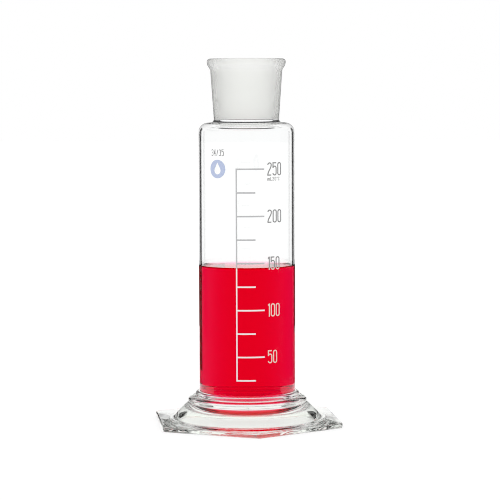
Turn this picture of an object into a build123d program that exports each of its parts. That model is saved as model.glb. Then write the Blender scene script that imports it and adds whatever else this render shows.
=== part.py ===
"""A 250 mL gas-washing bottle: ground taper socket, graduated tube, six-sided pressed glass foot,
red liquid and a fired-on enamel scale.

The frame's origin is on the bench under the middle of the foot, +Z goes up the tube's axis, and the
scale faces -Y. All lengths are in millimetres.
"""

from build123d import *
import os
from math import acos, cos, degrees, pi, radians, sin

# ---- driving dimensions -------------------------------------------------------------------------

# Tube
TUBE_OUTER_RADIUS = 26.5
TUBE_WALL = 1.5
TUBE_INNER_RADIUS = TUBE_OUTER_RADIUS - TUBE_WALL
INNER_BOTTOM_Z = 13.5
OUTER_BOTTOM_Z = INNER_BOTTOM_Z - TUBE_WALL
BOTTOM_INNER_CORNER = 6.0
BOTTOM_OUTER_CORNER = BOTTOM_INNER_CORNER + TUBE_WALL
SHOULDER_Z = 166.0
SHOULDER_OUTER_CORNER = 5.5

# Ground socket, size 34/35: 34.5 mm across at its large end, 1 in 10, 35 mm long
JOINT_LENGTH = 35.0
JOINT_TAPER = 0.1
JOINT_TOP_RADIUS = 34.5 / 2
THROAT_RADIUS = JOINT_TOP_RADIUS - JOINT_TAPER * JOINT_LENGTH / 2
THROAT_FLARE = 0.3
TOP_Z = SHOULDER_Z + JOINT_LENGTH
NECK_TOP_RADIUS = 19.7
NECK_BOTTOM_RADIUS = 17.9
NECK_FLARE = 2.0
LIP_INNER_ROUND = 0.8
BEAD_RADIUS = 21.6
BEAD_HEIGHT = 6.6
BEAD_WIDEST_BELOW_TOP = 1.8
BEAD_LAND_RADIUS = 19.6

# Pressed foot
FOOT_CORNER_RADIUS = 56.9
FOOT_CORNER_ROUND = 3.0
FOOT_TURN = 6.5
PLATE_THICKNESS = 3.0
PLATE_EDGE_ROUND = 0.9
PAD_RADIUS = 44.0
PAD_Z = 3.5
COLLAR_TOP_Z = 18.0
HOLLOW_RIM_RADIUS = 38.0
HOLLOW_TOP_RADIUS = 27.0
HOLLOW_TOP_Z = 8.4

# Liquid
LIQUID_Z = 87.0
MENISCUS_RISE = 1.0
MENISCUS_ROUND = 3.6

# Scale: 25 mL of the bore is one step, and 250 mL is ten of them
STEP_VOLUME = 25
FULL_VOLUME = 250
STEP_HEIGHT = STEP_VOLUME * 1000 / (pi * TUBE_INNER_RADIUS**2)
SCALE_ZERO_Z = 14.07
ENAMEL = 0.1
LINE_WIDTH = 0.85
SPINE_WIDTH = 0.75
SPINE_ANGLE = -12.1
LONG_LINE_END = 21.0
SHORT_LINE_END = 10.2

# Numbers, in the scale's tall narrow figures
DIGIT_HEIGHT = 7.2
DIGIT_WIDTH = 2.7
DIGIT_GAP = 0.5
DIGIT_STROKE = 0.65
NUMBER_START_ANGLE = 24.9
UNIT_HEIGHT = 2.0
UNIT_WIDTH = 1.0
UNIT_STROKE = 0.26
UNIT_GAP = 0.35
UNIT_DROP = 5.3
SIZE_HEIGHT = 3.6
SIZE_WIDTH = 1.35
SIZE_STROKE = 0.34
SIZE_GAP = 0.42
SIZE_RISE = 8.8
MARK_RADIUS = 5.0
MARK_ANGLE = -36.4


# ---- helpers ------------------------------------------------------------------------------------


def line_z(volume):
    """Height of the scale line for a volume in millilitres."""
    return SCALE_ZERO_Z + volume / STEP_VOLUME * STEP_HEIGHT


def arc_angle(length):
    """The angle that an arc of this length takes up on the tube's outside."""
    return degrees(length / TUBE_OUTER_RADIUS)


def radial_plane(angle):
    """The half-plane through the axis at an angle from the front (-Y) towards +X: x outwards, y up."""
    a = radians(angle)
    return Plane(origin=(0, 0, 0), x_dir=(sin(a), -cos(a), 0), z_dir=(-cos(a), -sin(a), 0))


def face_plane(angle, z):
    """A plane just outside the tube that faces outwards at this angle: x to the right, y up."""
    a = radians(angle)
    out = Vector(sin(a), -cos(a), 0)
    return Plane(
        origin=out * (TUBE_OUTER_RADIUS + 1) + Vector(0, 0, z),
        x_dir=(cos(a), sin(a), 0),
        z_dir=out,
    )


def save(piece, name):
    piece.part.label = name
    export_step(piece.part, f"parts/{name}.step")
    print(f"{name}: {len(piece.part.solids())} solids, {piece.part.volume:.1f} mm3")


def wrap_on_tube():
    """Inside a part: trims what was sunk through the tube's face to the enamel's layer."""
    Cylinder(TUBE_OUTER_RADIUS + ENAMEL, 2 * TOP_Z, mode=Mode.INTERSECT)
    Cylinder(TUBE_OUTER_RADIUS, 2 * TOP_Z, mode=Mode.SUBTRACT)


def enamel_band(start_angle, end_angle, low_z, high_z):
    """Inside a part: a band of enamel between two angles and two heights."""
    with BuildSketch(radial_plane(start_angle)) as section:
        with Locations((TUBE_OUTER_RADIUS + ENAMEL / 2, (low_z + high_z) / 2)):
            Rectangle(ENAMEL, high_z - low_z)
    revolve(section.sketch, axis=Axis.Z, revolution_arc=end_angle - start_angle)


# ---- figures: each draws one character in the current sketch, centred on the origin ---------------


def zero(width, height, stroke):
    SlotOverall(height, width, rotation=90)
    SlotOverall(height - 2 * stroke, width - 2 * stroke, rotation=90, mode=Mode.SUBTRACT)


def one(width, height, stroke):
    stem, flag = width / 4, (height - stroke) / 2
    with BuildLine() as path:
        Line((stem, -height / 2), (stem, height / 2))
    trace(path.line, line_width=stroke)
    with BuildLine() as path:
        Line((-width / 3, flag - width / 2), (stem, flag))
    trace(path.line, line_width=stroke)


def two(width, height, stroke):
    c, top = (width - stroke) / 2, (height - stroke) / 2
    with BuildLine() as path:
        CenterArc((0, top - c), c, 180, -180)
        Bezier((c, top - c), (c, 0.05 * height), (-c, -0.15 * height), (-c, -top))
        Line((-c, -top), (c, -top))
    trace(path.line, line_width=stroke)


def three(width, height, stroke):
    c, top = (width - stroke) / 2, (height - stroke) / 2
    with BuildLine() as path:
        CenterArc((0, top - c), c, 180, -180)
        Line((c, top - c), (c, c))
        CenterArc((0, c), c, 0, -90)
    trace(path.line, line_width=stroke)
    with BuildLine() as path:
        CenterArc((0, -c), c, 90, -90)
        Line((c, -c), (c, c - top))
        CenterArc((0, c - top), c, 0, -180)
    trace(path.line, line_width=stroke)


def four(width, height, stroke):
    c, top, bar = (width - stroke) / 2, (height - stroke) / 2, -height / 6
    with BuildLine() as path:
        Line((c / 3, -height / 2), (c / 3, height / 2))
    trace(path.line, line_width=stroke)
    with BuildLine() as path:
        Polyline((c / 3, top), (-c, bar), (width / 2, bar))
    trace(path.line, line_width=stroke)


def five(width, height, stroke):
    c, top = (width - stroke) / 2, (height - stroke) / 2
    bowl = 0.06 * height
    with BuildLine() as path:
        Polyline((c, top), (-c, top), (-c, bowl))
    trace(path.line, line_width=stroke)
    with BuildLine() as path:
        CenterArc((0, bowl), c, 180, -180)
        Line((c, bowl), (c, c - top))
        CenterArc((0, c - top), c, 0, -180)
    trace(path.line, line_width=stroke)


def slash(width, height, stroke):
    c, top = (width - stroke) / 2, (height - stroke) / 2
    with BuildLine() as path:
        Line((-c, -top), (c, top))
    trace(path.line, line_width=stroke)


def degree_sign(width, height, stroke):
    with Locations((0, (height - width) / 2)):
        Circle(width / 2)
        Circle(width / 2 - stroke, mode=Mode.SUBTRACT)


def letter_m(width, height, stroke):
    c, rise = (width - stroke) / 4, height / 6
    with BuildLine() as path:
        Line((-2 * c, -height / 2), (-2 * c, rise - c))
        CenterArc((-c, rise - c), c, 180, -180)
        Line((0, rise - c), (0, -height / 2))
    trace(path.line, line_width=stroke)
    with BuildLine() as path:
        CenterArc((c, rise - c), c, 180, -180)
        Line((2 * c, rise - c), (2 * c, -height / 2))
    trace(path.line, line_width=stroke)


def letter_l(width, height, stroke):
    c, top = (width - stroke) / 2, (height - stroke) / 2
    with BuildLine() as path:
        Polyline((-c, height / 2), (-c, -top), (width / 2, -top))
    trace(path.line, line_width=stroke)


def letter_c(width, height, stroke):
    c, top = (width - stroke) / 2, (height - stroke) / 2
    with BuildLine() as path:
        CenterArc((0, top - c), c, 0, 180)
        Line((-c, top - c), (-c, c - top))
        CenterArc((0, c - top), c, 180, 180)
    trace(path.line, line_width=stroke)


FIGURES = {
    "0": zero,
    "1": one,
    "2": two,
    "3": three,
    "4": four,
    "5": five,
    "/": slash,
    "o": degree_sign,
    "m": letter_m,
    "L": letter_l,
    "C": letter_c,
}
RELATIVE_WIDTHS = {"1": 0.5, "o": 0.6, "m": 1.5, "/": 0.9}


def write(text, start_angle, z, width, height, stroke, gap):
    """Inside a part: a row of enamel figures that starts at an angle, each one in its own solid."""
    angle = start_angle
    for figure in text:
        figure_width = width * RELATIVE_WIDTHS.get(figure, 1)
        with BuildSketch(face_plane(angle + arc_angle(figure_width / 2), z)) as drawing:
            FIGURES[figure](figure_width, height, stroke)
        extrude(drawing.sketch, amount=-2)
        angle += arc_angle(figure_width + gap)
    wrap_on_tube()


# ---- glass --------------------------------------------------------------------------------------


def bore_radius(z):
    """The ground taper's radius at a height."""
    return THROAT_RADIUS + (z - SHOULDER_Z) * JOINT_TAPER / 2


def socket_outline():
    """Half-section of the socket, from its throat up the bore, over the lip and down the outside."""
    bead_low_z = TOP_Z - BEAD_HEIGHT
    bead_mid_z = TOP_Z - BEAD_WIDEST_BELOW_TOP
    lip_z = TOP_Z - LIP_INNER_ROUND
    flare_z = SHOULDER_Z + NECK_FLARE
    Line((THROAT_RADIUS, SHOULDER_Z), (bore_radius(lip_z), lip_z))
    land = (bore_radius(lip_z) + LIP_INNER_ROUND, TOP_Z)
    TangentArc((bore_radius(lip_z), lip_z), land, tangent=(0, 1))
    Line(land, (BEAD_LAND_RADIUS, TOP_Z))
    TangentArc((BEAD_LAND_RADIUS, TOP_Z), (BEAD_RADIUS, bead_mid_z), tangent=(1, 0))
    Spline(
        (BEAD_RADIUS, bead_mid_z),
        (BEAD_RADIUS - 0.6, bead_mid_z - 2.8),
        (NECK_TOP_RADIUS, bead_low_z),
        tangents=((0, -1), (-0.05, -1)),
    )
    Line((NECK_TOP_RADIUS, bead_low_z), (NECK_BOTTOM_RADIUS, flare_z))
    flare_edge = (NECK_BOTTOM_RADIUS + NECK_FLARE, SHOULDER_Z)
    RadiusArc((NECK_BOTTOM_RADIUS, flare_z), flare_edge, NECK_FLARE)
    Line(flare_edge, (THROAT_RADIUS, SHOULDER_Z))


def make_joint_socket():
    with BuildPart() as joint_socket:
        with BuildSketch(Plane.XZ):
            with BuildLine():
                socket_outline()
            make_face()
        revolve(axis=Axis.Z)
    save(joint_socket, "joint_socket")


def tube_outline():
    """Half-section of the tube: up the outside, over the shoulder, and down the inside."""
    outer, inner = TUBE_OUTER_RADIUS, TUBE_INNER_RADIUS
    ceiling_z = SHOULDER_Z - TUBE_WALL
    bottom_flat = outer - BOTTOM_OUTER_CORNER
    shoulder_flat = outer - SHOULDER_OUTER_CORNER
    bottom_turn_z = OUTER_BOTTOM_Z + BOTTOM_OUTER_CORNER
    shoulder_turn_z = SHOULDER_Z - SHOULDER_OUTER_CORNER
    throat_edge = (THROAT_RADIUS + THROAT_FLARE, ceiling_z)
    Line((0, OUTER_BOTTOM_Z), (bottom_flat, OUTER_BOTTOM_Z))
    TangentArc((bottom_flat, OUTER_BOTTOM_Z), (outer, bottom_turn_z), tangent=(1, 0))
    Line((outer, bottom_turn_z), (outer, shoulder_turn_z))
    TangentArc((outer, shoulder_turn_z), (shoulder_flat, SHOULDER_Z), tangent=(0, 1))
    Line((shoulder_flat, SHOULDER_Z), (THROAT_RADIUS, SHOULDER_Z))
    Line((THROAT_RADIUS, SHOULDER_Z), throat_edge)
    Line(throat_edge, (shoulder_flat, ceiling_z))
    TangentArc((shoulder_flat, ceiling_z), (inner, shoulder_turn_z), tangent=(1, 0))
    Line((inner, shoulder_turn_z), (inner, bottom_turn_z))
    TangentArc((inner, bottom_turn_z), (bottom_flat, INNER_BOTTOM_Z), tangent=(0, -1))
    Line((bottom_flat, INNER_BOTTOM_Z), (0, INNER_BOTTOM_Z))
    Line((0, INNER_BOTTOM_Z), (0, OUTER_BOTTOM_Z))


def make_body_tube():
    with BuildPart() as body_tube:
        with BuildSketch(Plane.XZ):
            with BuildLine():
                tube_outline()
            make_face()
        revolve(axis=Axis.Z)
    save(body_tube, "body_tube")


def collar_outline():
    """Half-section of the foot's stepped collar and dome, down to the plate."""
    upper_ring = (28.9, 16.2)
    upper_groove = (29.6, 15.2)
    lower_ring = (32.9, 12.9)
    lower_groove = (33.9, 11.5)
    dome_foot = (41.4, PAD_Z)
    Line((0, COLLAR_TOP_Z), (TUBE_OUTER_RADIUS, COLLAR_TOP_Z))
    TangentArc((TUBE_OUTER_RADIUS, COLLAR_TOP_Z), upper_ring, tangent=(1, 0))
    Line(upper_ring, upper_groove)
    ThreePointArc(upper_groove, (31.8, 14.4), lower_ring)
    Line(lower_ring, lower_groove)
    ThreePointArc(lower_groove, (37.7, 7.9), dome_foot)
    Line(dome_foot, (PAD_RADIUS - 0.5, PAD_Z))
    Line((PAD_RADIUS - 0.5, PAD_Z), (PAD_RADIUS, PLATE_THICKNESS))
    Polyline((PAD_RADIUS, PLATE_THICKNESS), (PAD_RADIUS, PLATE_THICKNESS / 2), (0, PLATE_THICKNESS / 2))
    Line((0, PLATE_THICKNESS / 2), (0, COLLAR_TOP_Z))


def hollow_outline():
    """Half-section of the hollow under the foot."""
    mouth = (HOLLOW_RIM_RADIUS, 0)
    side_low = (HOLLOW_RIM_RADIUS - 1.2, 2.2)
    ceiling = (HOLLOW_TOP_RADIUS, HOLLOW_TOP_Z)
    Polyline((0, 0), mouth, side_low)
    ThreePointArc(side_low, (33.2, 6.0), ceiling)
    Polyline(ceiling, (0, HOLLOW_TOP_Z), (0, 0))


def seat_outline():
    """Half-section of the seat that holds the tube's rounded bottom."""
    flat = TUBE_OUTER_RADIUS - BOTTOM_OUTER_CORNER
    turn_z = OUTER_BOTTOM_Z + BOTTOM_OUTER_CORNER
    Line((0, OUTER_BOTTOM_Z), (flat, OUTER_BOTTOM_Z))
    TangentArc((flat, OUTER_BOTTOM_Z), (TUBE_OUTER_RADIUS, turn_z), tangent=(1, 0))
    Polyline((TUBE_OUTER_RADIUS, turn_z), (0, turn_z), (0, OUTER_BOTTOM_Z))


def make_hex_foot():
    with BuildPart() as hex_foot:
        with BuildSketch():
            RegularPolygon(FOOT_CORNER_RADIUS, 6, rotation=30 + FOOT_TURN)
            fillet(vertices(), FOOT_CORNER_ROUND)
        extrude(amount=PLATE_THICKNESS)
        fillet(edges().group_by(Axis.Z)[-1], PLATE_EDGE_ROUND)
        fillet(edges().group_by(Axis.Z)[0], PLATE_EDGE_ROUND)
        with BuildSketch(Plane.XZ):
            with BuildLine():
                collar_outline()
            make_face()
        revolve(axis=Axis.Z)
        for outline in (seat_outline, hollow_outline):
            with BuildSketch(Plane.XZ):
                with BuildLine():
                    outline()
                make_face()
            revolve(axis=Axis.Z, mode=Mode.SUBTRACT)
    save(hex_foot, "hex_foot")


# ---- liquid -------------------------------------------------------------------------------------


def liquid_outline():
    """Half-section of the liquid, with its surface drawn up where it meets the wall."""
    inner = TUBE_INNER_RADIUS
    flat = inner - BOTTOM_INNER_CORNER
    turn_z = INNER_BOTTOM_Z + BOTTOM_INNER_CORNER
    meniscus_width = (2 * MENISCUS_ROUND * MENISCUS_RISE - MENISCUS_RISE**2) ** 0.5
    Line((0, INNER_BOTTOM_Z), (flat, INNER_BOTTOM_Z))
    TangentArc((flat, INNER_BOTTOM_Z), (inner, turn_z), tangent=(1, 0))
    Line((inner, turn_z), (inner, LIQUID_Z + MENISCUS_RISE))
    meniscus_start = (inner - meniscus_width, LIQUID_Z)
    TangentArc(meniscus_start, (inner, LIQUID_Z + MENISCUS_RISE), tangent=(1, 0))
    Polyline(meniscus_start, (0, LIQUID_Z), (0, INNER_BOTTOM_Z))


def make_red_liquid():
    with BuildPart() as red_liquid:
        with BuildSketch(Plane.XZ):
            with BuildLine():
                liquid_outline()
            make_face()
        revolve(axis=Axis.Z)
    save(red_liquid, "red_liquid")


# ---- enamel scale -------------------------------------------------------------------------------


def make_scale_spine():
    half = arc_angle(SPINE_WIDTH) / 2
    low_z = line_z(STEP_VOLUME) - LINE_WIDTH / 2
    high_z = line_z(FULL_VOLUME) + LINE_WIDTH / 2
    with BuildPart() as scale_spine:
        enamel_band(SPINE_ANGLE - half, SPINE_ANGLE + half, low_z, high_z)
    save(scale_spine, "scale_spine")


def make_scale_lines(name, first_volume, end_angle):
    """Every second line of the scale from a first volume on, from the spine to an end angle."""
    start_angle = SPINE_ANGLE + arc_angle(SPINE_WIDTH) / 2
    with BuildPart() as scale_lines:
        for volume in range(first_volume, FULL_VOLUME + 1, 2 * STEP_VOLUME):
            z = line_z(volume)
            enamel_band(start_angle, end_angle, z - LINE_WIDTH / 2, z + LINE_WIDTH / 2)
    save(scale_lines, name)


def make_numeral(volume):
    with BuildPart() as numeral:
        write(
            str(volume),
            NUMBER_START_ANGLE,
            line_z(volume),
            DIGIT_WIDTH,
            DIGIT_HEIGHT,
            DIGIT_STROKE,
            DIGIT_GAP,
        )
    save(numeral, f"numeral_{volume}")


def make_unit_mark():
    """The unit and the temperature it holds at, in small figures under the top number."""
    z = line_z(FULL_VOLUME) - UNIT_DROP
    with BuildPart() as unit_mark:
        write(
            "mL20oC", NUMBER_START_ANGLE, z, UNIT_WIDTH, UNIT_HEIGHT, UNIT_STROKE, UNIT_GAP
        )
    save(unit_mark, "unit_mark")


def make_size_mark():
    """The socket's size, above the round mark."""
    text = "34/35"
    widths = [SIZE_WIDTH * RELATIVE_WIDTHS.get(figure, 1) for figure in text]
    length = sum(widths) + SIZE_GAP * (len(text) - 1)
    start = MARK_ANGLE - arc_angle(length) / 2
    z = line_z(FULL_VOLUME) + SIZE_RISE
    with BuildPart() as size_mark:
        write(text, start, z, SIZE_WIDTH, SIZE_HEIGHT, SIZE_STROKE, SIZE_GAP)
    save(size_mark, "size_mark")


def make_round_mark():
    """A plain disc with a drop-shaped window, beside the top of the scale."""
    drop_radius = MARK_RADIUS * 0.42
    drop_z = -MARK_RADIUS * 0.16
    tip_z = MARK_RADIUS * 0.72
    turn = acos(drop_radius / (tip_z - drop_z))
    side_x, side_z = drop_radius * sin(turn), drop_z + drop_radius * cos(turn)
    with BuildPart() as round_mark:
        with BuildSketch(face_plane(MARK_ANGLE, line_z(FULL_VOLUME))):
            Circle(MARK_RADIUS)
            with Locations((0, drop_z)):
                Circle(drop_radius, mode=Mode.SUBTRACT)
            with BuildLine():
                Polyline((0, tip_z), (side_x, side_z), (-side_x, side_z), (0, tip_z))
            make_face(mode=Mode.SUBTRACT)
        extrude(amount=-3)
        wrap_on_tube()
    save(round_mark, "round_mark")


os.makedirs("parts", exist_ok=True)
make_joint_socket()
make_body_tube()
make_hex_foot()
make_red_liquid()
make_scale_spine()
make_scale_lines("scale_long_lines", 2 * STEP_VOLUME, LONG_LINE_END)
make_scale_lines("scale_short_lines", STEP_VOLUME, SHORT_LINE_END)
for labelled_volume in (50, 100, 150, 200, 250):
    make_numeral(labelled_volume)
make_unit_mark()
make_size_mark()
make_round_mark()
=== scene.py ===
"""Looks of a 250 mL gas-washing bottle: ground socket, clear graduated tube, pressed six-sided foot,
red liquid and fired-on enamel scale. Lengths in the outlines are in millimetres, made metres by MM.
"""

import math

import bpy
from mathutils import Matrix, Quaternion, Vector, noise


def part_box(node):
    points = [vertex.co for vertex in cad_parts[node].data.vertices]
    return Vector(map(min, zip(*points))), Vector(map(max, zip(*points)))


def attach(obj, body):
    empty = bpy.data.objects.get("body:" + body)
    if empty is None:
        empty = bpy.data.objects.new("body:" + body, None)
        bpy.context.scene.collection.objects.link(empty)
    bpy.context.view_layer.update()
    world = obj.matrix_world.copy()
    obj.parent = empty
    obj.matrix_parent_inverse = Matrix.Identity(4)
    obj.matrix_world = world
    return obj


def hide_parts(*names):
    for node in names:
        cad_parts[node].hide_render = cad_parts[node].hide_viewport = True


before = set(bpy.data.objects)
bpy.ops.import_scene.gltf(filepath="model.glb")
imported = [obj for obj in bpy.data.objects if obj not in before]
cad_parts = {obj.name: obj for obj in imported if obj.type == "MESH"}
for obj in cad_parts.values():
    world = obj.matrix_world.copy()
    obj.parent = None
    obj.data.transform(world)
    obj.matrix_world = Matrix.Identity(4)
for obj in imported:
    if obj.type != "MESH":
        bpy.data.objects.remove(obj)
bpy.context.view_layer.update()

MM = 0.001
AROUND = 288

# ---- places taken from the frame, in millimetres ------------------------------------------------

socket_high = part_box("joint_socket")[1] / MM
tube_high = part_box("body_tube")[1] / MM
foot_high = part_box("hex_foot")[1] / MM
liquid_low, liquid_high = (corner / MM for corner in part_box("red_liquid"))

TOP_Z = socket_high.z
SHOULDER_Z = tube_high.z
TUBE_R = tube_high.x
BORE_R = liquid_high.x
WALL = TUBE_R - BORE_R
INNER_BOTTOM_Z = liquid_low.z
COLLAR_TOP_Z = foot_high.z


# ---- outlines: lists of (radius, height, slot of the stretch that follows) ------------------------


def arc(centre, radius, start, end, slot=0, steps=10):
    """Points of an arc in the (radius, height) plane, with angles in degrees from outwards."""
    points = []
    for i in range(steps + 1):
        a = math.radians(start + (end - start) * i / steps)
        points.append((centre[0] + radius * math.cos(a), centre[1] + radius * math.sin(a), slot))
    return points


def curve(p0, p1, p2, p3, slot=0, steps=10):
    """Points of a cubic Bezier curve."""
    points = []
    for i in range(steps + 1):
        t = i / steps
        weights = ((1 - t) ** 3, 3 * t * (1 - t) ** 2, 3 * t * t * (1 - t), t**3)
        r = sum(w * p[0] for w, p in zip(weights, (p0, p1, p2, p3)))
        z = sum(w * p[1] for w, p in zip(weights, (p0, p1, p2, p3)))
        points.append((r, z, slot))
    return points


def straight(start, end, slot=0, steps=8):
    """Evenly spaced points from start up to, but without, end."""
    return [
        (start[0] + (end[0] - start[0]) * i / steps, start[1] + (end[1] - start[1]) * i / steps, slot)
        for i in range(steps)
    ]


def signed_volume(points, faces):
    """Six times the volume inside, negative where the faces look inwards."""
    total = 0.0
    for face in faces:
        first = Vector(points[face[0]])
        for j in range(1, len(face) - 1):
            total += first.dot(Vector(points[face[j]]).cross(Vector(points[face[j + 1]])))
    return total


def mesh_piece(name, points, faces, slots, materials, sharp=40):
    """A smooth-shaded mesh object from vertices in millimetres, with a slot for each face."""
    if signed_volume(points, faces) < 0:
        faces = [tuple(reversed(face)) for face in faces]
    mesh = bpy.data.meshes.new(name)
    mesh.from_pydata([Vector(p) * MM for p in points], [], faces)
    for material in materials:
        mesh.materials.append(material)
    mesh.polygons.foreach_set("material_index", slots)
    mesh.polygons.foreach_set("use_smooth", [True] * len(faces))
    mesh.validate()
    mesh.set_sharp_from_angle(angle=math.radians(sharp))
    piece = bpy.data.objects.new(name, mesh)
    bpy.context.scene.collection.objects.link(piece)
    return piece


def rings_to_mesh(rings):
    """Vertices and faces of closed rings joined in a loop: each ring is a list of points."""
    count = len(rings[0])
    points = [p for ring in rings for p in ring]
    faces = []
    for j in range(len(rings)):
        k = (j + 1) % len(rings)
        for i in range(count):
            n = (i + 1) % count
            faces.append((j * count + i, j * count + n, k * count + n, k * count + i))
    return points, faces


def lathe(name, outline, materials):
    """A ring-shaped solid turned round the axis from a closed outline that stays off the axis."""
    kept = [p for p, q in zip(outline, outline[1:] + outline[:1]) if math.dist(p[:2], q[:2]) > 1e-4]
    rings = []
    for r, z, _ in kept:
        turns = [2 * math.pi * i / AROUND for i in range(AROUND)]
        rings.append([(r * math.cos(a), r * math.sin(a), z) for a in turns])
    points, faces = rings_to_mesh(rings)
    slots = [slot for _, _, slot in kept for _ in range(AROUND)]
    return mesh_piece(name, points, faces, slots, materials)


def close_on_axis(name, outline, materials):
    """A solid turned round the axis from an outline that starts and ends on the axis."""
    kept = [p for p, q in zip(outline, outline[1:]) if math.dist(p[:2], q[:2]) > 1e-4] + outline[-1:]
    inner = kept[1:-1]
    points = [(0, 0, kept[0][1])]
    for r, z, _ in inner:
        for i in range(AROUND):
            a = 2 * math.pi * i / AROUND
            points.append((r * math.cos(a), r * math.sin(a), z))
    points.append((0, 0, kept[-1][1]))
    faces, slots = [], []
    last = len(points) - 1
    for i in range(AROUND):
        n = (i + 1) % AROUND
        faces.append((0, 1 + n, 1 + i))
        slots.append(kept[0][2])
        for j in range(len(inner) - 1):
            low, high = 1 + j * AROUND, 1 + (j + 1) * AROUND
            faces.append((low + i, low + n, high + n, high + i))
            slots.append(inner[j][2])
        top = 1 + (len(inner) - 1) * AROUND
        faces.append((top + i, top + n, last))
        slots.append(inner[-1][2])
    return mesh_piece(name, points, faces, slots, materials)


# ---- materials ------------------------------------------------------------------------------------

GLASS_IOR = 1.473
LIQUID_IOR = 1.333


def new_material(name):
    """A material with its nodes, its links and its Principled shader."""
    material = bpy.data.materials.new(name)
    material.use_nodes = True
    nodes = material.node_tree.nodes
    return material, nodes, material.node_tree.links, nodes["Principled BSDF"]


def add_bump(nodes, links, shader, scale, distance, detail=2.0, stretch=(1, 1, 1)):
    """A noise bump whose cells are about 1/scale metres and whose height is distance metres."""
    place = nodes.new("ShaderNodeTexCoord")
    mapping = nodes.new("ShaderNodeMapping")
    mapping.inputs["Scale"].default_value = stretch
    grain = nodes.new("ShaderNodeTexNoise")
    grain.inputs["Scale"].default_value = scale
    grain.inputs["Detail"].default_value = detail
    bump = nodes.new("ShaderNodeBump")
    bump.inputs["Strength"].default_value = 1.0
    bump.inputs["Distance"].default_value = distance
    links.new(place.outputs["Object"], mapping.inputs["Vector"])
    links.new(mapping.outputs["Vector"], grain.inputs["Vector"])
    links.new(grain.outputs["Fac"], bump.inputs["Height"])
    links.new(bump.outputs["Normal"], shader.inputs["Normal"])
    return grain


def make_clear_glass(name, colour, waviness, wet=False):
    """Clear glass. A wet face has the liquid behind it, so it mirrors next to nothing head-on."""
    material, nodes, links, shader = new_material(name)
    if wet:
        shader.inputs["Specular Tint"].default_value = (0, 0, 0, 1)
    shader.inputs["Base Color"].default_value = (*colour, 1)
    shader.inputs["Roughness"].default_value = 0.0
    shader.inputs["IOR"].default_value = GLASS_IOR
    shader.inputs["Transmission Weight"].default_value = 1.0
    if waviness:
        add_bump(nodes, links, shader, 45, waviness, 1.0, (1, 1, 0.35))
    return material


def make_foot_glass():
    """Pressed glass: thick enough for its faint green to show, with a slightly uneven skin."""
    material, nodes, links, shader = new_material("foot_glass")
    shader.inputs["Base Color"].default_value = (0.955, 0.98, 0.945, 1)
    shader.inputs["Roughness"].default_value = 0.0
    shader.inputs["IOR"].default_value = GLASS_IOR
    shader.inputs["Transmission Weight"].default_value = 1.0
    add_bump(nodes, links, shader, 110, 0.00006, 1.0)
    return material


def make_ground_glass():
    """The ground inside of the socket: fine grain that scatters all that passes."""
    material, nodes, links, shader = new_material("ground_glass")
    shader.inputs["Base Color"].default_value = (0.98, 0.985, 0.955, 1)
    shader.inputs["Roughness"].default_value = 0.6
    shader.inputs["IOR"].default_value = GLASS_IOR
    shader.inputs["Transmission Weight"].default_value = 1.0
    add_bump(nodes, links, shader, 900, 0.00002, 3.0)
    return material


def make_throat_painted_dark_line():
    """A near-black finish for the bore's way through the shoulder: a painted dark line, painted shade
    that stands in for the dark line which refraction shows there. The real glass is clear."""
    material, nodes, links, shader = new_material("throat_painted_dark_line")
    shader.inputs["Base Color"].default_value = (0.04, 0.04, 0.045, 1)
    shader.inputs["Roughness"].default_value = 0.5
    shader.inputs["IOR"].default_value = GLASS_IOR
    shader.inputs["Transmission Weight"].default_value = 0.1
    add_bump(nodes, links, shader, 900, 0.00002, 3.0)
    return material


def make_fused_seam():
    """The inside of a fused joint, where glass runs on into glass and nothing shows."""
    material, _, _, shader = new_material("fused_seam")
    shader.inputs["Base Color"].default_value = (1, 1, 1, 1)
    shader.inputs["Alpha"].default_value = 0.0
    return material


def make_red_liquid():
    """Clear red liquid, coloured by how far light goes through it. It mirrors next to nothing."""
    material, nodes, links, shader = new_material("red_liquid")
    shader.inputs["Base Color"].default_value = (1, 1, 1, 1)
    shader.inputs["Roughness"].default_value = 0.0
    shader.inputs["IOR"].default_value = LIQUID_IOR
    shader.inputs["Specular Tint"].default_value = (0, 0, 0, 1)
    shader.inputs["Transmission Weight"].default_value = 1.0
    absorb = nodes.new("ShaderNodeVolumeAbsorption")
    absorb.inputs["Color"].default_value = (0.972, 0.0, 0.5, 1)
    absorb.inputs["Density"].default_value = 170
    links.new(absorb.outputs["Volume"], nodes["Material Output"].inputs["Volume"])
    return material


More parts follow.
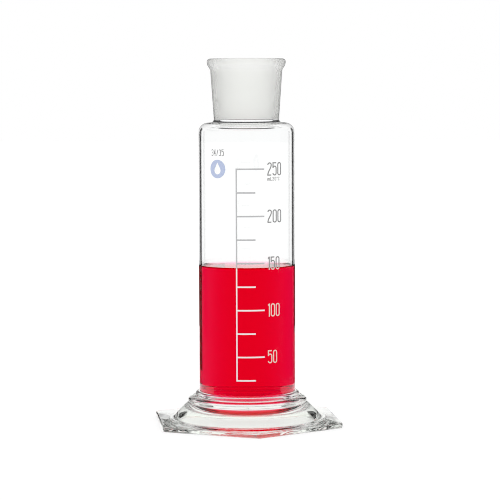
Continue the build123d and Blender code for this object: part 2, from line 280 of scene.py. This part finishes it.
def make_enamel(name, colour, dark, painted_light_over_liquid=None):
    """Fired-on enamel: colour mottled on a fine scale, with a softly uneven gloss. Where
    painted_light_over_liquid is given, colour and dark are painted shade, and below the liquid's level it
    turns to painted_light_over_liquid, painted light that makes it lighter in front of the liquid."""
    material, nodes, links, shader = new_material(name)
    grain = add_bump(nodes, links, shader, 2600, 0.000012, 3.0)
    ramp = nodes.new("ShaderNodeValToRGB")
    ramp.color_ramp.elements[0].position = 0.3
    ramp.color_ramp.elements[0].color = (*dark, 1)
    ramp.color_ramp.elements[1].position = 0.6
    ramp.color_ramp.elements[1].color = (*colour, 1)
    links.new(grain.outputs["Fac"], ramp.inputs["Fac"])
    links.new(ramp.outputs["Color"], shader.inputs["Base Color"])
    # Painted light: below the liquid's level the enamel's colour turns to a lighter copy.
    if painted_light_over_liquid:
        place = nodes.new("ShaderNodeTexCoord")
        split = nodes.new("ShaderNodeSeparateXYZ")
        below = nodes.new("ShaderNodeMapRange")
        below.inputs["From Min"].default_value = (liquid_high.z + 0.3) * MM
        below.inputs["From Max"].default_value = (liquid_high.z - 0.7) * MM
        blend = nodes.new("ShaderNodeMix")
        blend.data_type = "RGBA"
        blend.inputs["B"].default_value = (*painted_light_over_liquid, 1)
        links.new(place.outputs["Object"], split.inputs["Vector"])
        links.new(split.outputs["Z"], below.inputs["Value"])
        links.new(below.outputs["Result"], blend.inputs["Factor"])
        links.new(ramp.outputs["Color"], blend.inputs["A"])
        links.new(blend.outputs["Result"], shader.inputs["Base Color"])
    shader.inputs["Roughness"].default_value = 0.38
    shader.inputs["IOR"].default_value = 1.5
    return material


clear_glass = make_clear_glass("clear_glass", (0.992, 0.996, 0.995), 0.000008)
wet_glass = make_clear_glass("wet_glass", (0.992, 0.996, 0.995), 0, wet=True)
foot_glass = make_foot_glass()
ground_glass = make_ground_glass()
throat_painted_dark_line = make_throat_painted_dark_line()
fused_seam = make_fused_seam()
red_liquid = make_red_liquid()
# Scale and figure enamel: the first two colours are painted shade, darker than the enamel is; the last is
# painted light in front of the liquid.
white_enamel = make_enamel("white_enamel", (0.52, 0.52, 0.53), (0.42, 0.42, 0.43), (0.84, 0.81, 0.8))
figure_enamel = make_enamel("figure_enamel", (0.3, 0.3, 0.3), (0.22, 0.22, 0.22), (0.8, 0.62, 0.55))
blue_enamel = make_enamel("blue_enamel", (0.50, 0.57, 0.76), (0.40, 0.47, 0.68))

# ---- socket ---------------------------------------------------------------------------------------

CLEAR, GROUND, SEAM = 0, 1, 2
THROAT_R = 15.5
THROAT_FLARE = 0.3
GROUND_LOW_Z = SHOULDER_Z + 2.0
LIP_ROUND = 0.8
BEAD_R = socket_high.x
BEAD_MID_Z = TOP_Z - 1.8
BEAD_LOW_Z = TOP_Z - 6.6
LAND_R = 19.6
NECK_TOP_R = 19.7
NECK_LOW_R = 17.9
FLARE = 2.0


def bore_at(z):
    """The ground taper is 1 in 10 on the diameter."""
    return THROAT_R + (z - SHOULDER_Z) * 0.05


def make_socket():
    lip_z = TOP_Z - LIP_ROUND
    lip_r = bore_at(lip_z)
    outline = straight((THROAT_R, SHOULDER_Z), (bore_at(GROUND_LOW_Z), GROUND_LOW_Z), CLEAR, 2)
    outline += straight((bore_at(GROUND_LOW_Z), GROUND_LOW_Z), (lip_r, lip_z), GROUND, 24)
    outline += arc((lip_r + LIP_ROUND, lip_z), LIP_ROUND, 180, 90, GROUND, 8)
    bead_drop = TOP_Z - BEAD_MID_Z
    outline += curve(
        (LAND_R, TOP_Z),
        (LAND_R + 1.3, TOP_Z),
        (BEAD_R, BEAD_MID_Z + bead_drop * 0.55),
        (BEAD_R, BEAD_MID_Z),
        CLEAR,
        12,
    )
    outline += curve(
        (BEAD_R, BEAD_MID_Z),
        (BEAD_R, BEAD_MID_Z - 2.4),
        (NECK_TOP_R + 0.3, BEAD_LOW_Z + 1.6),
        (NECK_TOP_R, BEAD_LOW_Z),
        CLEAR,
        14,
    )
    outline += straight((NECK_TOP_R, BEAD_LOW_Z), (NECK_LOW_R, SHOULDER_Z + FLARE), CLEAR, 20)
    outline += arc((NECK_LOW_R + FLARE, SHOULDER_Z + FLARE), FLARE, 180, 270, CLEAR, 8)
    outline[-1] = (*outline[-1][:2], SEAM)
    piece = lathe("glass_socket", outline, [clear_glass, ground_glass, fused_seam])
    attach(piece, "root")
    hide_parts("joint_socket")


# ---- tube -----------------------------------------------------------------------------------------

CORNER_OUT = 5.5
SEAM_DROP = 0.35
BOTTOM_CORNER_IN = 6.0


def make_tube():
    # Slot edge takes the throat's painted dark line: painted shade on the bore's way through the
    # shoulder.
    seam, wet, edge = 1, 2, 3
    bottom_out = BOTTOM_CORNER_IN + WALL
    low_z = INNER_BOTTOM_Z - WALL
    turn_z = INNER_BOTTOM_Z + BOTTOM_CORNER_IN
    flat = BORE_R - BOTTOM_CORNER_IN
    shoulder_turn_z = SHOULDER_Z - CORNER_OUT
    shoulder_flat = TUBE_R - CORNER_OUT
    outline = [(0, low_z, seam)] + straight((flat * 0.5, low_z), (flat, low_z), seam, 4)
    corner = arc((flat, turn_z), bottom_out, -90, 0, seam, 24)
    outline += [(r, z, seam if z < COLLAR_TOP_Z - SEAM_DROP else 0) for r, z, _ in corner]
    outline += straight((TUBE_R, turn_z), (TUBE_R, shoulder_turn_z), 0, 20)
    outline += arc((shoulder_flat, shoulder_turn_z), CORNER_OUT, 0, 90, 0, 20)
    outline += straight((shoulder_flat, SHOULDER_Z), (NECK_LOW_R + FLARE, SHOULDER_Z), 0, 2)
    outline += [(NECK_LOW_R + FLARE, SHOULDER_Z, seam)]
    outline += [(THROAT_R, SHOULDER_Z, edge), (THROAT_R + THROAT_FLARE, SHOULDER_Z - WALL, 0)]
    outline += arc((shoulder_flat, shoulder_turn_z), CORNER_OUT - WALL, 90, 0, 0, 20)
    outline += straight((BORE_R, shoulder_turn_z), (BORE_R, liquid_high.z), 0, 10)
    outline += straight((BORE_R, liquid_high.z), (BORE_R, turn_z), wet, 10)
    outline += arc((flat, turn_z), BOTTOM_CORNER_IN, 0, -90, wet, 24)
    outline += [(0, INNER_BOTTOM_Z, wet)]
    piece = close_on_axis("glass_tube", outline, [clear_glass, fused_seam, wet_glass, throat_painted_dark_line])
    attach(piece, "root")
    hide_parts("body_tube")


# ---- foot -----------------------------------------------------------------------------------------

FOOT_CORNER_R = 56.9
FOOT_CORNER_ROUND = 3.0
FOOT_TURN = 6.5
PLATE = 3.0
EDGE_ROUND = 0.9
EDGE_WAVE = 0.25
PAD_TOP = (41.8, 3.5)
PAD_EDGE = (43.7, 3.25)
PLATE_START_R = 44.1
UPPER_RING = (28.9, 16.2)
UPPER_GROOVE = (29.9, 15.2)
LOWER_RING = (32.9, 12.9)
LOWER_GROOVE = (33.7, 11.4)
CONE_FOOT = (40.6, 4.1)
HOLLOW_R = 38.0
HOLLOW_BEND = (34.6, 4.8)
HOLLOW_TOP_R = 27.0
HOLLOW_Z = 8.4
FRONT = -90.0


def hexagon_radius(angle, inset):
    """Distance from the axis to the plate's side, at an angle in degrees, pushed in by inset."""
    corner_distance = FOOT_CORNER_R - inset / math.cos(math.radians(30))
    side_distance = corner_distance * math.cos(math.radians(30))
    from_corner = (angle - FRONT - FOOT_TURN + 30) % 60 - 30
    from_middle = math.radians(30 - abs(from_corner))
    radius = max(FOOT_CORNER_ROUND - inset, 0.2)
    centre_distance = corner_distance - radius / math.cos(math.radians(30))
    a = math.radians(abs(from_corner))
    straight_side = side_distance / math.cos(from_middle)
    flat_half = centre_distance * math.sin(math.radians(30))
    along = straight_side * math.sin(from_middle)
    if along <= flat_half:
        return straight_side
    return centre_distance * math.cos(a) + math.sqrt(
        max(radius**2 - (centre_distance * math.sin(a)) ** 2, 0)
    )


def pressed_wave(angle, seed):
    """From -1 to 1, wandering round the foot as a pressed edge does, about one wave in 10 mm."""
    a = math.radians(angle)
    return noise.noise(Vector((5.5 * math.cos(a), 5.5 * math.sin(a), seed)))


def foot_angles():
    """Angles round the foot, close together at its six corners."""
    angles = []
    for corner in range(6):
        middle = FRONT + FOOT_TURN + 60 * corner
        for i in range(-24, 24):
            t = i / 24
            angles.append(middle + 30 * math.copysign(abs(t) ** 1.35, t))
    return angles


def foot_outline():
    """(radius, inset, height, slot) round the foot's section: where inset is set, the radius is
    the plate's side pushed in by it."""
    rings = []

    def turned(points):
        rings.extend((r, None, z, slot) for r, z, slot in points)

    flat = BORE_R - BOTTOM_CORNER_IN
    turn_z = INNER_BOTTOM_Z + BOTTOM_CORNER_IN
    seat_radius = BOTTOM_CORNER_IN + WALL
    seat = [p for p in arc((flat, turn_z), seat_radius, -90, 0, 1, 24) if p[1] < COLLAR_TOP_Z - SEAM_DROP]
    turned([(0.4, INNER_BOTTOM_Z - WALL, 1)])
    turned(straight((flat * 0.5, INNER_BOTTOM_Z - WALL), (flat, INNER_BOTTOM_Z - WALL), 1, 4))
    turned(seat[:-1])
    turned([(seat[-1][0], seat[-1][1], 0)])
    turned(curve((TUBE_R + 0.15, COLLAR_TOP_Z - 0.25), (27.2, 18.1), (28.8, 17.9), UPPER_RING, 0, 10))
    turned(curve(UPPER_RING, (28.9, 15.2), (29.3, 15.1), UPPER_GROOVE, 0, 8)[1:])
    turned(curve(UPPER_GROOVE, (31.6, 15.2), (32.9, 14.2), LOWER_RING, 0, 10)[1:])
    turned(curve(LOWER_RING, (32.9, 12.1), (33.2, 11.8), LOWER_GROOVE, 0, 8)[1:])
    turned(curve(LOWER_GROOVE, (36.4, 9.1), (38.6, 6.4), CONE_FOOT, 0, 16)[1:])
    turned(curve(CONE_FOOT, (40.9, 3.7), (41.2, 3.5), PAD_TOP, 0, 6)[1:])
    turned(curve(PAD_TOP, (43.2, 3.5), (43.3, 3.5), PAD_EDGE, 0, 6)[1:])
    turned([(PLATE_START_R, PLATE, 0)])
    for a in range(0, 91, 15):
        turn = math.radians(90 - a)
        inset = EDGE_ROUND * (1 - math.cos(turn))
        rings.append((None, inset, PLATE - EDGE_ROUND + EDGE_ROUND * math.sin(turn), 0))
    for a in range(0, 91, 15):
        turn = math.radians(a)
        inset = EDGE_ROUND * (1 - math.cos(turn))
        rings.append((None, inset, EDGE_ROUND - EDGE_ROUND * math.sin(turn), 0))
    turned([(HOLLOW_R + 2.0, 0, 0), (HOLLOW_R + 0.4, 0, 0)])
    turned(curve((HOLLOW_R, 0.1), (HOLLOW_R - 0.6, 1.2), (36.8, 2.4), HOLLOW_BEND, 0, 8))
    turned(curve(HOLLOW_BEND, (32.6, 7.0), (30.4, HOLLOW_Z), (HOLLOW_TOP_R, HOLLOW_Z), 0, 10)[1:])
    turned([(HOLLOW_TOP_R * 0.5, HOLLOW_Z, 0), (0.4, HOLLOW_Z, 0)])
    return rings


def make_foot():
    angles = foot_angles()
    rings, slots = [], []
    for r, inset, z, slot in foot_outline():
        ring = []
        for angle in angles:
            radius, height = r, z
            if inset is not None:
                radius = hexagon_radius(angle, inset) + EDGE_WAVE * (pressed_wave(angle, z) - 0.6)
                if z > PLATE / 2:
                    height += EDGE_WAVE * 0.7 * (pressed_wave(angle, 7.0) - 0.6)
            a = math.radians(angle)
            ring.append((radius * math.cos(a), radius * math.sin(a), height))
        rings.append(ring)
        slots.append(slot)
    points, faces = rings_to_mesh(rings)
    face_slots = [slot for slot in slots for _ in angles]
    piece = mesh_piece("glass_foot", points, faces, face_slots, [foot_glass, fused_seam])
    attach(piece, "root")
    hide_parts("hex_foot")


# ---- liquid ---------------------------------------------------------------------------------------

LIQUID_BITE = 0.1
MENISCUS_ROUND = 3.6
MENISCUS_RISE = 1.0


def make_liquid():
    """The liquid reaches a hair into the glass, so that light goes from one straight to the other."""
    radius = BORE_R + LIQUID_BITE
    corner = BOTTOM_CORNER_IN + LIQUID_BITE
    flat = BORE_R - BOTTOM_CORNER_IN
    turn_z = INNER_BOTTOM_Z + BOTTOM_CORNER_IN
    low_z = INNER_BOTTOM_Z - LIQUID_BITE
    surface_z = liquid_high.z - MENISCUS_RISE
    width = math.sqrt(2 * MENISCUS_ROUND * MENISCUS_RISE - MENISCUS_RISE**2)
    start = BORE_R - width
    steepest = math.degrees(math.asin(width / MENISCUS_ROUND)) - 90
    outline = [(0, low_z, 0)] + straight((flat * 0.5, low_z), (flat, low_z), 0, 3)
    outline += arc((flat, turn_z), corner, -90, 0, 0, 24)
    outline += straight((radius, turn_z), (radius, liquid_high.z), 0, 30)
    outline += [(radius, liquid_high.z, 0)]
    outline += arc((start, surface_z + MENISCUS_ROUND), MENISCUS_ROUND, steepest, -90, 0, 14)
    outline += straight((start - 0.5, surface_z), (start * 0.4, surface_z), 0, 6)
    outline += [(0, surface_z, 0)]
    piece = close_on_axis("liquid", outline, [red_liquid])
    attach(piece, "root")
    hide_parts("red_liquid")


# ---- enamel scale and marks -------------------------------------------------------------------------


def paint_enamel():
    """The fired-on enamel keeps the frame's own shapes, and takes its finish here, with its painted light
    and shade.
    """
    for name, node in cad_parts.items():
        if node.hide_render:
            continue
        enamel = white_enamel if name.startswith("scale") else figure_enamel
        if name == "round_mark":
            enamel = blue_enamel
        node.data.materials.clear()
        node.data.materials.append(enamel)
        node.data.polygons.foreach_set("material_index", [0] * len(node.data.polygons))


# ---- floor, light and camera ------------------------------------------------------------------------


def make_floor():
    """A wide pale floor, partly lit from within so that it stays white."""
    half = 6.0
    mesh = bpy.data.meshes.new("floor")
    corners = [(-half, -half, 0), (half, -half, 0), (half, half, 0), (-half, half, 0)]
    mesh.from_pydata(corners, [], [(0, 1, 2, 3)])
    floor = bpy.data.objects.new("floor", mesh)
    floor.location.z = -0.0002
    bpy.context.scene.collection.objects.link(floor)
    material, _, _, shader = new_material("floor")
    shader.inputs["Base Color"].default_value = (0.3, 0.3, 0.3, 1)
    shader.inputs["Emission Color"].default_value = (1, 1, 1, 1)
    shader.inputs["Emission Strength"].default_value = 0.75
    shader.inputs["Roughness"].default_value = 0.9
    shader.inputs["Specular IOR Level"].default_value = 0.0
    mesh.materials.append(material)


def make_world():
    """Even white light from all round."""
    world = bpy.data.worlds.new("studio")
    bpy.context.scene.world = world
    world.use_nodes = True
    background = world.node_tree.nodes["Background"]
    background.inputs["Color"].default_value = (1, 1, 1, 1)
    background.inputs["Strength"].default_value = 1.0


def make_card(name, seen_in, start, end, distance, low, high, glow=0.0):
    """A dark upright strip round the bottle, between two angles from straight behind it and two
    heights, that shows only in the glass: seen_in is the kind of ray that meets it. With a glow it
    is grey."""
    steps = 24
    points, faces = [], []
    for i in range(steps + 1):
        a = math.radians(start + (end - start) * i / steps)
        x, y = distance * math.sin(a), distance * math.cos(a)
        points += [(x, y, low), (x, y, high)]
    for i in range(steps):
        faces.append((2 * i, 2 * i + 2, 2 * i + 3, 2 * i + 1))
    finish_card(name, seen_in, points, faces, glow)


def make_flat_card(name, seen_in, start, end, near, far, height):
    """A dark level sector of a ring round the axis, between two distances from it."""
    steps = 24
    points, faces = [], []
    for i in range(steps + 1):
        a = math.radians(start + (end - start) * i / steps)
        for distance in (near, far):
            points.append((distance * math.sin(a), distance * math.cos(a), height))
    for i in range(steps):
        faces.append((2 * i, 2 * i + 2, 2 * i + 3, 2 * i + 1))
    finish_card(name, seen_in, points, faces, 0.0)


def finish_card(name, seen_in, points, faces, glow):
    """The card's mesh and finish, hidden from the camera, from diffuse light and from shadows."""
    mesh = bpy.data.meshes.new(name)
    mesh.from_pydata(points, [], faces)
    card = bpy.data.objects.new(name, mesh)
    bpy.context.scene.collection.objects.link(card)
    material, _, _, shader = new_material(name)
    shader.inputs["Base Color"].default_value = (0.01, 0.01, 0.01, 1)
    shader.inputs["Emission Color"].default_value = (1, 1, 1, 1)
    shader.inputs["Emission Strength"].default_value = glow
    shader.inputs["Roughness"].default_value = 1.0
    shader.inputs["Specular IOR Level"].default_value = 0.0
    mesh.materials.append(material)
    card.visible_camera = False
    card.visible_diffuse = False
    card.visible_shadow = False
    card.visible_volume_scatter = False
    card.visible_transmission = seen_in == "transmission"
    card.visible_glossy = seen_in == "glossy"


CAMERA_PLACE = (0.0017, -1.126, 0.1851)
CAMERA_AIM = (0.0017, 0, 0.0958)
CAMERA_ROLL = -0.21
LENS = 147.37


def make_camera():
    """The photo's camera: 1.1 m in front of the bottle, just under the height of its rim."""
    camera_data = bpy.data.cameras.new("camera")
    camera = bpy.data.objects.new("camera", camera_data)
    bpy.context.scene.collection.objects.link(camera)
    camera_data.sensor_width = 36
    camera_data.lens = LENS
    camera_data.clip_end = 50
    camera.location = CAMERA_PLACE
    aim = Vector(CAMERA_AIM) - camera.location
    roll = Quaternion((0, 0, 1), math.radians(CAMERA_ROLL))
    camera.rotation_mode = "QUATERNION"
    camera.rotation_quaternion = aim.to_track_quat("-Z", "Y") @ roll
    bpy.context.scene.camera = camera


def set_light_paths():
    """Enough bounces for light to pass every wall of the bottle, plain colours and a sharp filter."""
    scene = bpy.context.scene
    scene.view_settings.view_transform = "Standard"
    scene.cycles.max_bounces = 24
    scene.cycles.transmission_bounces = 24
    scene.cycles.glossy_bounces = 12
    scene.cycles.transparent_max_bounces = 24
    scene.cycles.filter_width = 1.0


make_camera()
make_socket()
make_tube()
make_foot()
make_liquid()
paint_enamel()
make_floor()
make_world()

# Dark cards seen through the glass: they draw the dark edges of the tube, then of the liquid.
make_card("far_right", "transmission", 22, 38, 0.95, 0.006, 0.4)
make_card("far_left", "transmission", -38, -22, 0.95, 0.006, 0.4)
make_card("near_right", "transmission", 41, 85, 0.2, 0.0, 0.069)
make_card("near_left", "transmission", -66, -54, 0.4, 0.0, 0.052)

# Cards mirrored in the glass, dark or grey, each from its first height to its second.
make_card("ring_low", "glossy", 26, 334, 0.16, 0.0, 0.036)
make_card("ring_liquid", "glossy", 10, 350, 0.16, 0.036, 0.078)
make_card("ring_left", "glossy", -46, -26, 0.16, 0.078, 0.164)
make_card("ring_right", "glossy", 26, 46, 0.16, 0.078, 0.164)
make_card("ring_side", "glossy", 46, 100, 0.16, 0.078, 0.164, 0.5)
make_card("ring_front", "glossy", 100, 314, 0.16, 0.078, 0.164, 0.75)
make_card("ring_top", "glossy", 46, 314, 0.16, 0.164, 0.3, 0.55)
make_card("ring_top_left", "glossy", -46, -8, 0.16, 0.164, 0.3, 0.12)
make_card("ring_top_right", "glossy", 8, 46, 0.16, 0.164, 0.3, 0.12)

# A dark mat in front of the foot, mirrored in the bottom of the tube.
make_flat_card("front_mat", "glossy", 100, 260, 0.062, 0.16, -0.0001)

set_light_paths()
